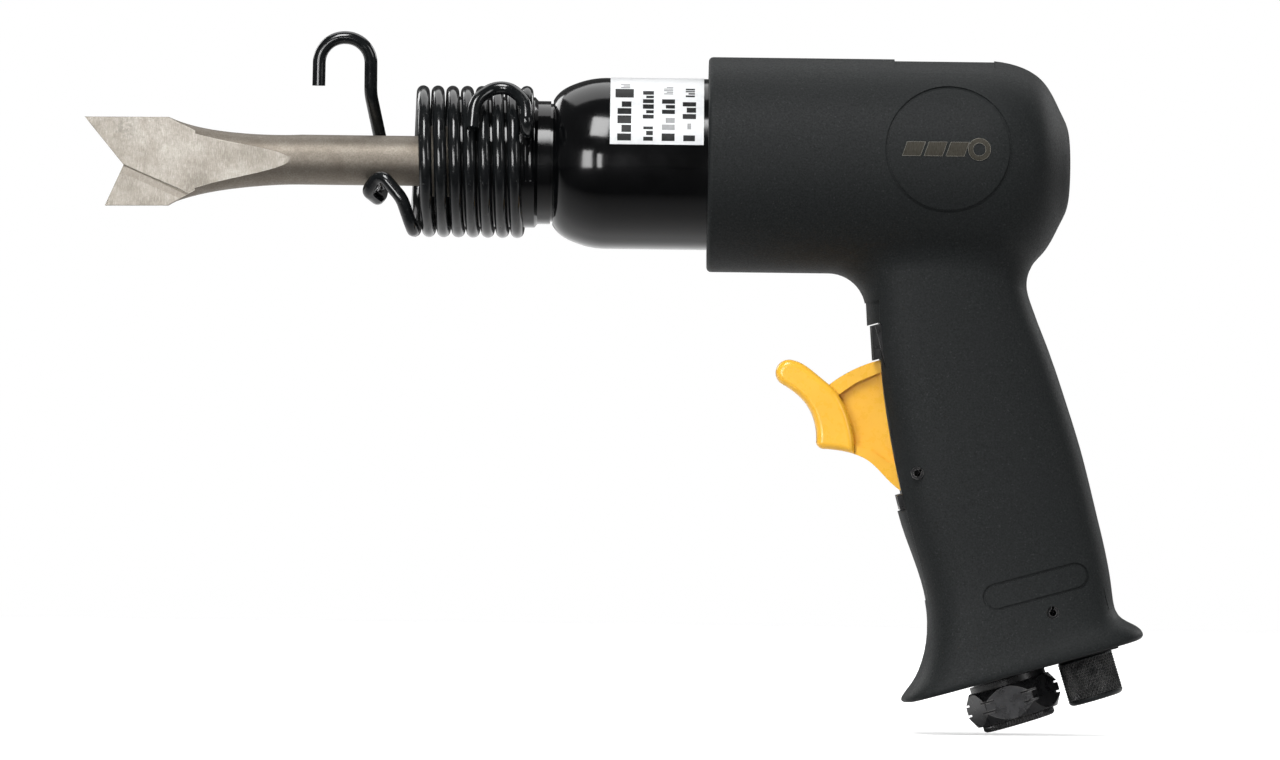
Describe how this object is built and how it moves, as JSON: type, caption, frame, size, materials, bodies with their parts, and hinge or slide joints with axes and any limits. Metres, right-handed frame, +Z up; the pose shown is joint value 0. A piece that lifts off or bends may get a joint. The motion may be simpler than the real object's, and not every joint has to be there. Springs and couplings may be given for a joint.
{
  "type": "pneumatic air hammer",
  "caption": "Pistol-grip pneumatic air hammer with a coil-spring retainer, a forked panel-cutter chisel, a sprung trigger, a side-by-side air inlet and a rotary regulator.",
  "frame": {"origin": "centre of the air inlet's mouth, at the bottom of the grip", "axes": "+X from the chisel towards the back of the housing, along the barrel; +Y across the tool; +Z up, from the grip towards the barrel"},
  "size_m": [0.2553, 0.052, 0.1666],
  "materials": {
    "housing_composite": "matte moulded composite with a fine grain",
    "badge_metal": "satin metallic mark",
    "core_metal": "black painted casting",
    "black_barrel": "high gloss black",
    "label_vinyl": "white vinyl with plain dark bars",
    "black_plastic": "matte black",
    "spring_steel": "satin black oxide wire",
    "tool_steel": "forged and ground steel",
    "polished_steel": "ground and polished",
    "valve_steel": "machined",
    "pin_steel": "black spring steel",
    "trigger_plastic": "glossy orange yellow",
    "valve_brass": "turned brass",
    "seal_rubber": "black nitrile",
    "blackened_steel": "glossy black oxide",
    "regulator_black": "black with a diamond knurl"
  },
  "bodies": {
    "housing": {"housing": "housing_composite", "side_badges": "badge_metal", "handle_core": "core_metal", "barrel": "black_barrel", "rating_label": "label_vinyl", "exhaust_deflector": "black_plastic", "retainer_spring": "spring_steel", "valve_front_case": "valve_steel", "valve_rear_case": "valve_steel", "valve_locating_pin": "pin_steel", "trigger_pin": "pin_steel", "throttle_bushing": "valve_brass", "throttle_spring": "valve_steel", "inlet_bushing": "blackened_steel", "inlet_collar": "blackened_steel", "inlet_screen": "valve_brass", "regulator_pin": "pin_steel", "cylinder_seal": "seal_rubber", "valve_gasket": "seal_rubber", "valve_cushion": "seal_rubber", "throttle_stem_seal": "seal_rubber", "throttle_plug": "valve_brass", "inlet_seal": "seal_rubber"},
    "trigger": {"trigger": "trigger_plastic"},
    "throttle": {"throttle_stem": "polished_steel", "throttle_seat_seal": "seal_rubber"},
    "piston": {"piston": "polished_steel"},
    "chisel": {"chisel": "tool_steel"},
    "regulator": {"regulator_valve": "regulator_black", "regulator_seal": "seal_rubber"},
    "valve_disc": {"valve_disc": "polished_steel"}
  },
  "joints": [
    {"name": "trigger_pivot", "type": "hinge", "parent": "housing", "child": "trigger", "pos_m": [-0.0257, 0, 0.05975], "axis": [0, 1, 0], "range_deg": [0, 12], "stiffness_Nm_per_rad": 0.5, "springref_deg": -11.46},
    {"name": "throttle_slide", "type": "slide", "parent": "housing", "child": "throttle", "axis": [0.9636, 0, 0.2672], "range_m": [0, 0.003], "deforming": ["throttle_spring"]},
    {"name": "piston_slide", "type": "slide", "parent": "housing", "child": "piston", "axis": [1, 0, 0], "range_m": [0, 0.0402]},
    {"name": "chisel_slide", "type": "slide", "parent": "housing", "child": "chisel", "axis": [1, 0, 0], "range_m": [-0.0062, 0]},
    {"name": "regulator_turn", "type": "hinge", "parent": "housing", "child": "regulator", "pos_m": [0.01845, 0, 0.00568], "axis": [-0.294, 0, 0.9558], "continuous": true},
    {"name": "valve_disc_slide", "type": "slide", "parent": "housing", "child": "valve_disc", "axis": [1, 0, 0], "range_m": [0, 0.001]}
  ],
  "couplings": [
    {"joint": "throttle_slide", "follows": "trigger_pivot", "m_per_rad": 0.014}
  ]
}
